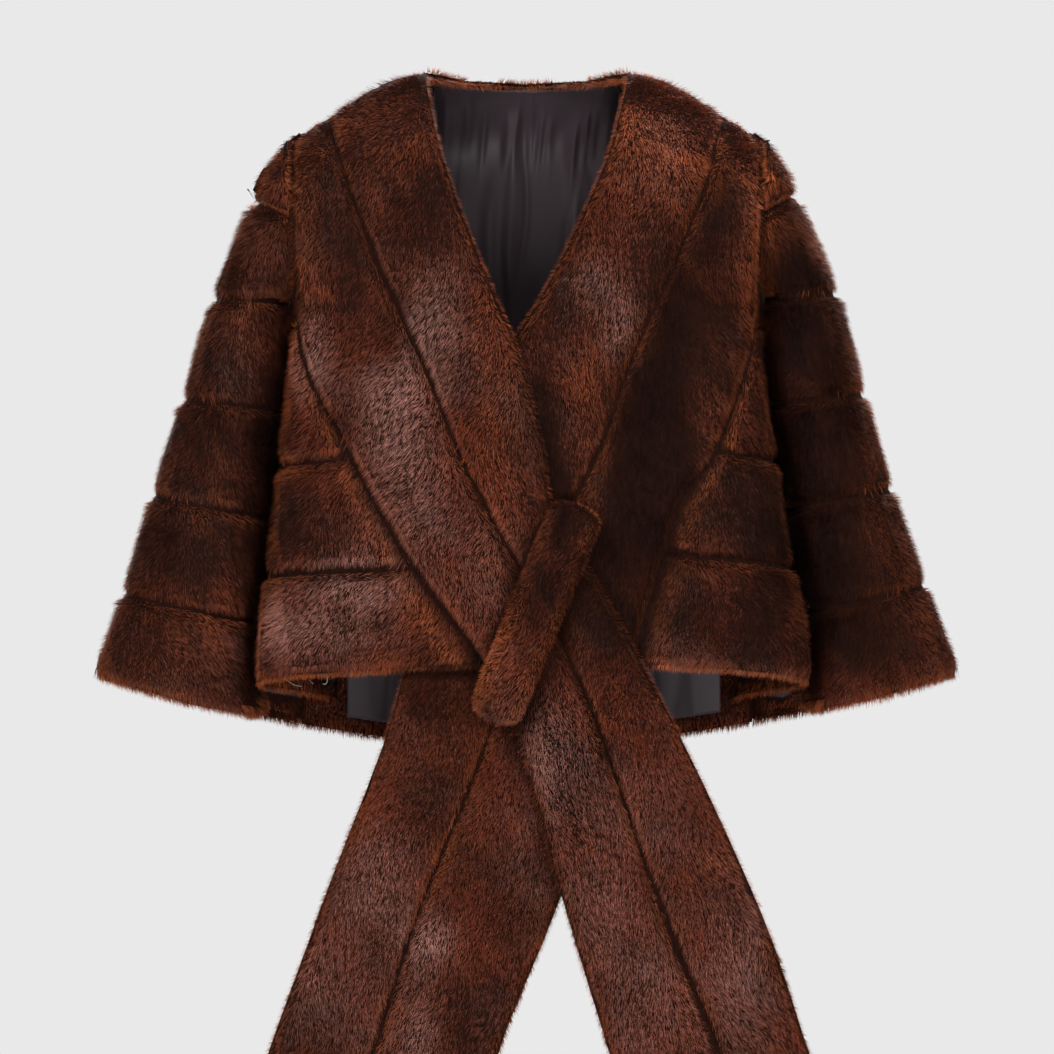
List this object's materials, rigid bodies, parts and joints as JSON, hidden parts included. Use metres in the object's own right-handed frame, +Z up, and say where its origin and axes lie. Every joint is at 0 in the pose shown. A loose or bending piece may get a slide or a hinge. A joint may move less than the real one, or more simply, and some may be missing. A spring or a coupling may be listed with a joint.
{
  "type": "sleeved fur wrap cape",
  "caption": "Cropped brown fur wrap cape with wide sleeves, horizontal pelts, crossed stole bands held by a fur loop and long free ends, filled out as worn.",
  "frame": {"origin": "on the shoulder line, midway between the two sides of the neck, where the wearer's shoulders carry it", "axes": "+Z up, +Y towards the wearer's back, so the front faces -Y"},
  "size_m": [0.879, 0.2631, 1.2348],
  "materials": {
    "fur": "long pile",
    "lining": "satin"
  },
  "bodies": {
    "root": {"back_0": "fur", "back_1": "fur", "back_2": "fur", "back_3": "fur", "back_4": "fur", "back_5": "fur", "back_lining": "lining", "side_left_1": "fur", "side_left_2": "fur", "side_left_3": "fur", "side_right_1": "fur", "side_right_2": "fur", "side_right_3": "fur", "sleeve_left_0": "fur", "sleeve_left_1": "fur", "sleeve_left_2": "fur", "sleeve_left_3": "fur", "sleeve_left_4": "fur", "sleeve_left_5": "fur", "sleeve_right_0": "fur", "sleeve_right_1": "fur", "sleeve_right_2": "fur", "sleeve_right_3": "fur", "sleeve_right_4": "fur", "sleeve_right_5": "fur", "stole_left_inner": "fur", "stole_left_outer": "fur", "stole_right_inner": "fur", "stole_right_outer": "fur", "waist_loop": "fur"}
  },
  "joints": []
}
